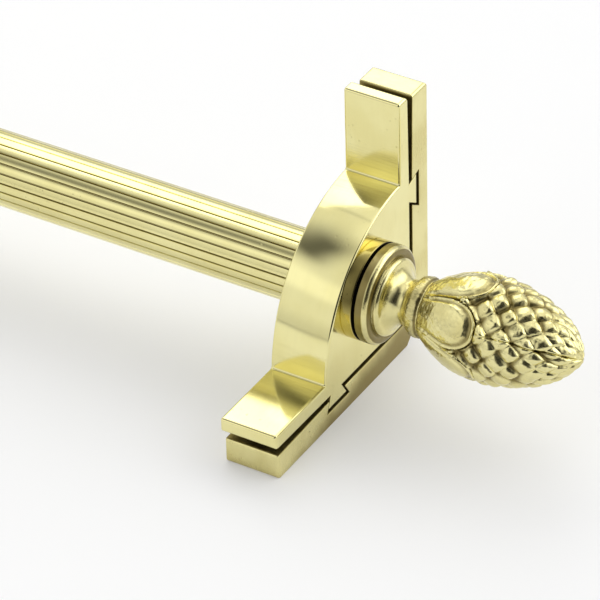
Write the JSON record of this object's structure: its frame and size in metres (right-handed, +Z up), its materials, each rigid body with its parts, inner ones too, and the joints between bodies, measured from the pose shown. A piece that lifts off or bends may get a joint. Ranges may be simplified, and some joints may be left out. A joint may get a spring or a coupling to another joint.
{
  "type": "stair carpet rod",
  "caption": "Brass stair carpet rod: a reeded tube carried by dovetail brackets that fix to tread and riser, with a scaled cone finial screwed into each end.",
  "frame": {"origin": "on the tread plane, below the middle of the rod's length, half way between the riser plane and the brackets' front tips", "axes": "+X along the rod, +Y towards the riser, +Z up"},
  "size_m": [0.818, 0.062, 0.062],
  "materials": {
    "reeded_brass": "bright drawn tube with fine grooves",
    "plate_brass": "satin, filed and buffed",
    "polished_brass": "mirror polished outside, brushed end faces",
    "turned_brass": "turned, lightly brushed",
    "inner_brass": "plain machined",
    "cast_brass": "polished casting with dark recesses"
  },
  "bodies": {
    "fixed_plates": {"base_plates": "plate_brass"},
    "left_sliding_cover": {"left_cover": "polished_brass", "left_collar": "turned_brass"},
    "right_sliding_cover": {"right_cover": "polished_brass", "right_collar": "turned_brass"},
    "rod": {"rod_tube": "reeded_brass", "end_plugs": "inner_brass"},
    "left_finial_unit": {"left_finial": "cast_brass"},
    "right_finial_unit": {"right_finial": "cast_brass"}
  },
  "joints": [
    {"name": "left_cover_slide", "type": "slide", "parent": "fixed_plates", "child": "left_sliding_cover", "axis": [1, 0, 0], "range_m": [0, 0.013]},
    {"name": "right_cover_slide", "type": "slide", "parent": "fixed_plates", "child": "right_sliding_cover", "axis": [-1, 0, 0], "range_m": [0, 0.013]},
    {"name": "rod_turn", "type": "hinge", "parent": "fixed_plates", "child": "rod", "pos_m": [0, 0.0056, 0.0254], "axis": [1, 0, 0], "continuous": true},
    {"name": "left_finial_turn", "type": "hinge", "parent": "rod", "child": "left_finial_unit", "pos_m": [-0.362, 0.0056, 0.0254], "axis": [-1, 0, 0], "continuous": true},
    {"name": "right_finial_turn", "type": "hinge", "parent": "rod", "child": "right_finial_unit", "pos_m": [0.362, 0.0056, 0.0254], "axis": [1, 0, 0], "continuous": true}
  ]
}
